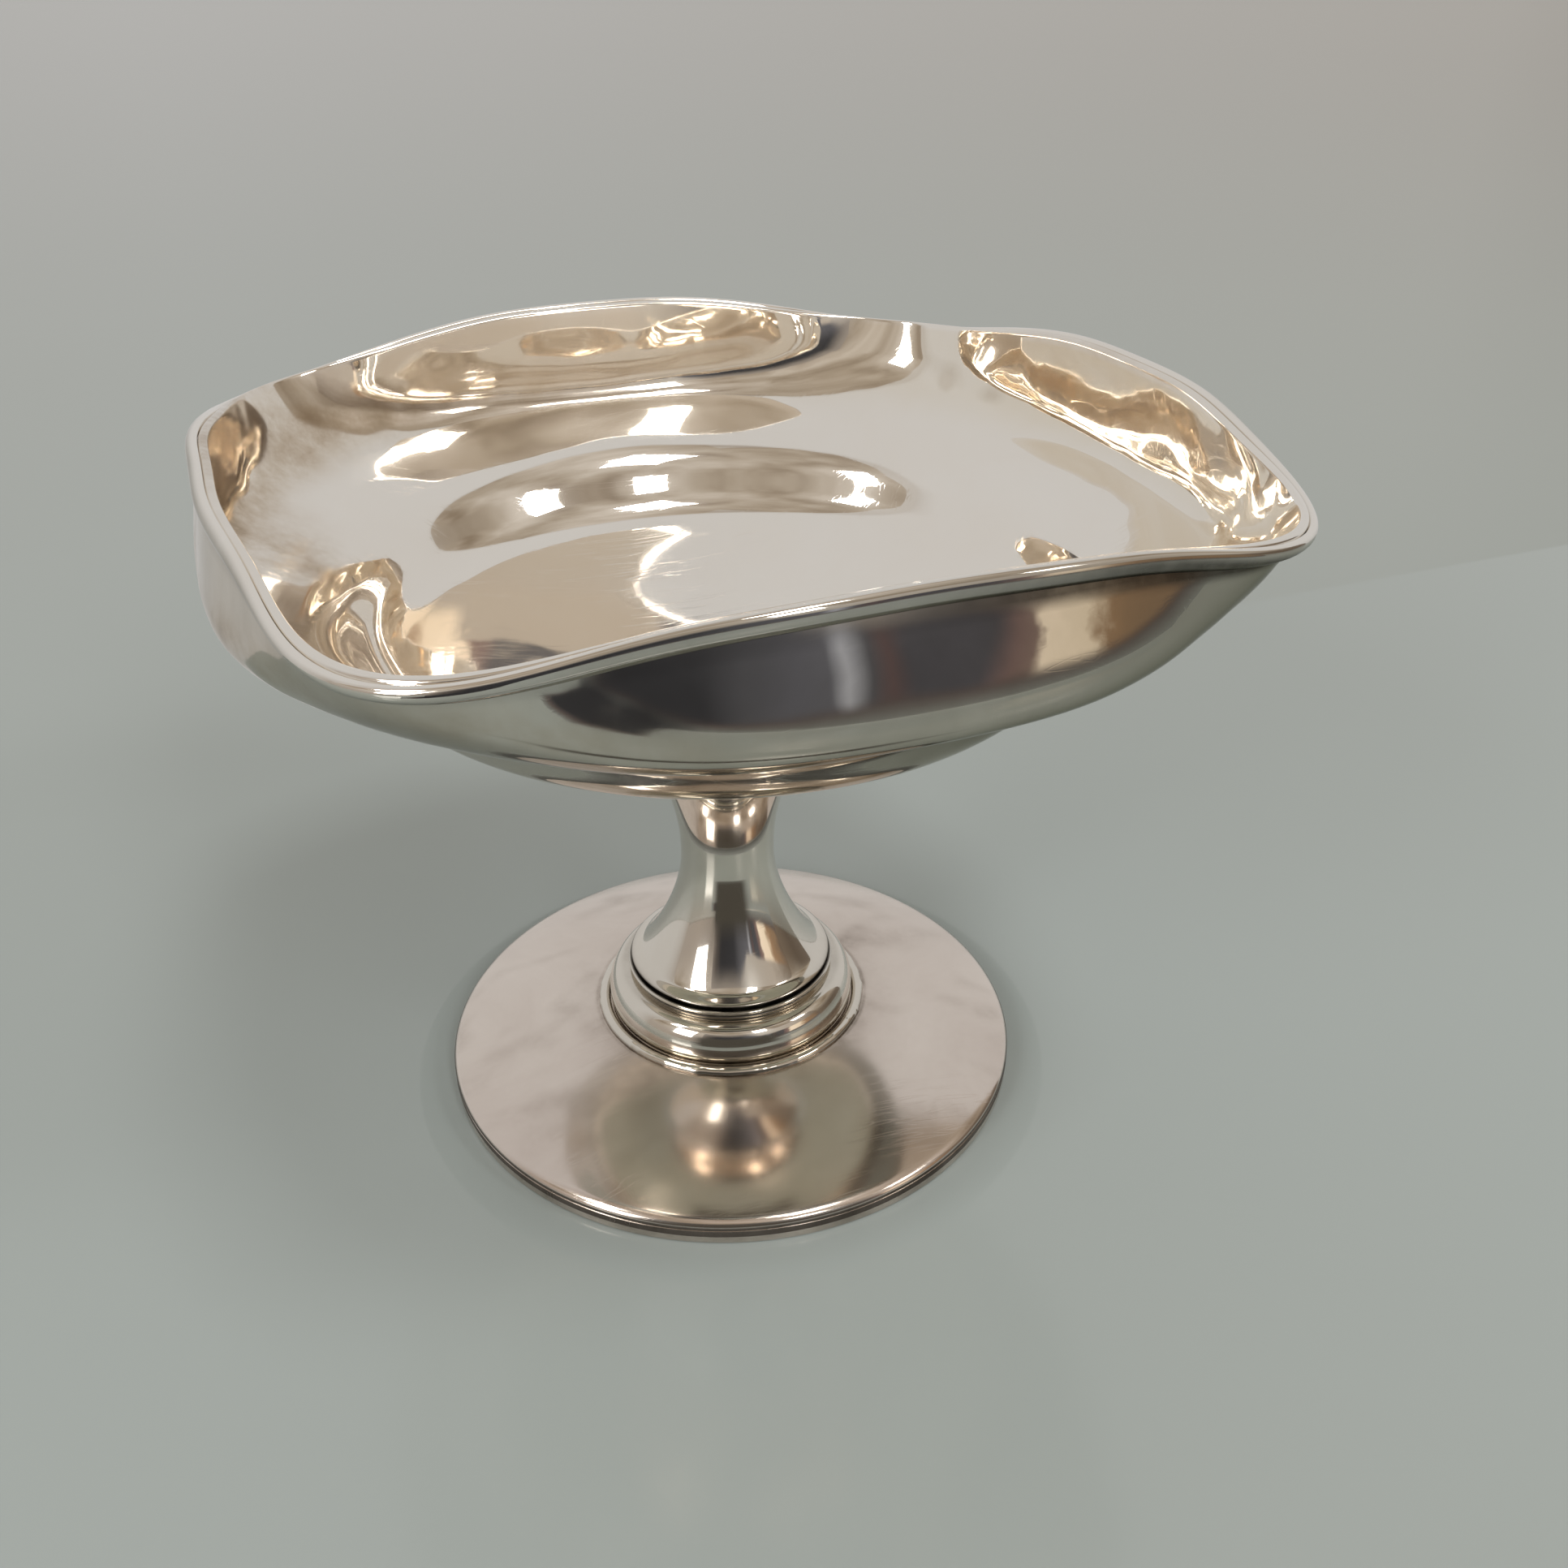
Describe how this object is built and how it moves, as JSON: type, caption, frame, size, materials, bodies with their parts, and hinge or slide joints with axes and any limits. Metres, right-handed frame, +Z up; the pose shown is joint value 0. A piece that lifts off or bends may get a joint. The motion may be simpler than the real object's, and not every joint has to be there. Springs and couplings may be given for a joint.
{
  "type": "comport",
  "caption": "Square footed silver dish with a wavy lip, turned-in sides and a round dished well, on a waisted hollow stem, a moulded collar and a domed round foot.",
  "frame": {"origin": "centre of the foot's standing face, on the table", "axes": "+Z up along the stem; the sides of the dish face +X, -X, +Y and -Y, and -Y is the side nearest the viewer"},
  "size_m": [0.1122, 0.1122, 0.089],
  "materials": {
    "polished_silver": "mirror-polished silver with hairline scratches and slight warm tarnish in the creases",
    "worn_silver": "silver worn to a soft satin by handling, with fine scratches"
  },
  "bodies": {
    "root": {"bowl": "polished_silver", "rim_wire": "polished_silver", "joining_disc": "polished_silver", "stem": "polished_silver", "stem_collar": "polished_silver", "collar_wire": "polished_silver", "foot": "worn_silver", "foot_wire": "worn_silver"}
  },
  "joints": []
}
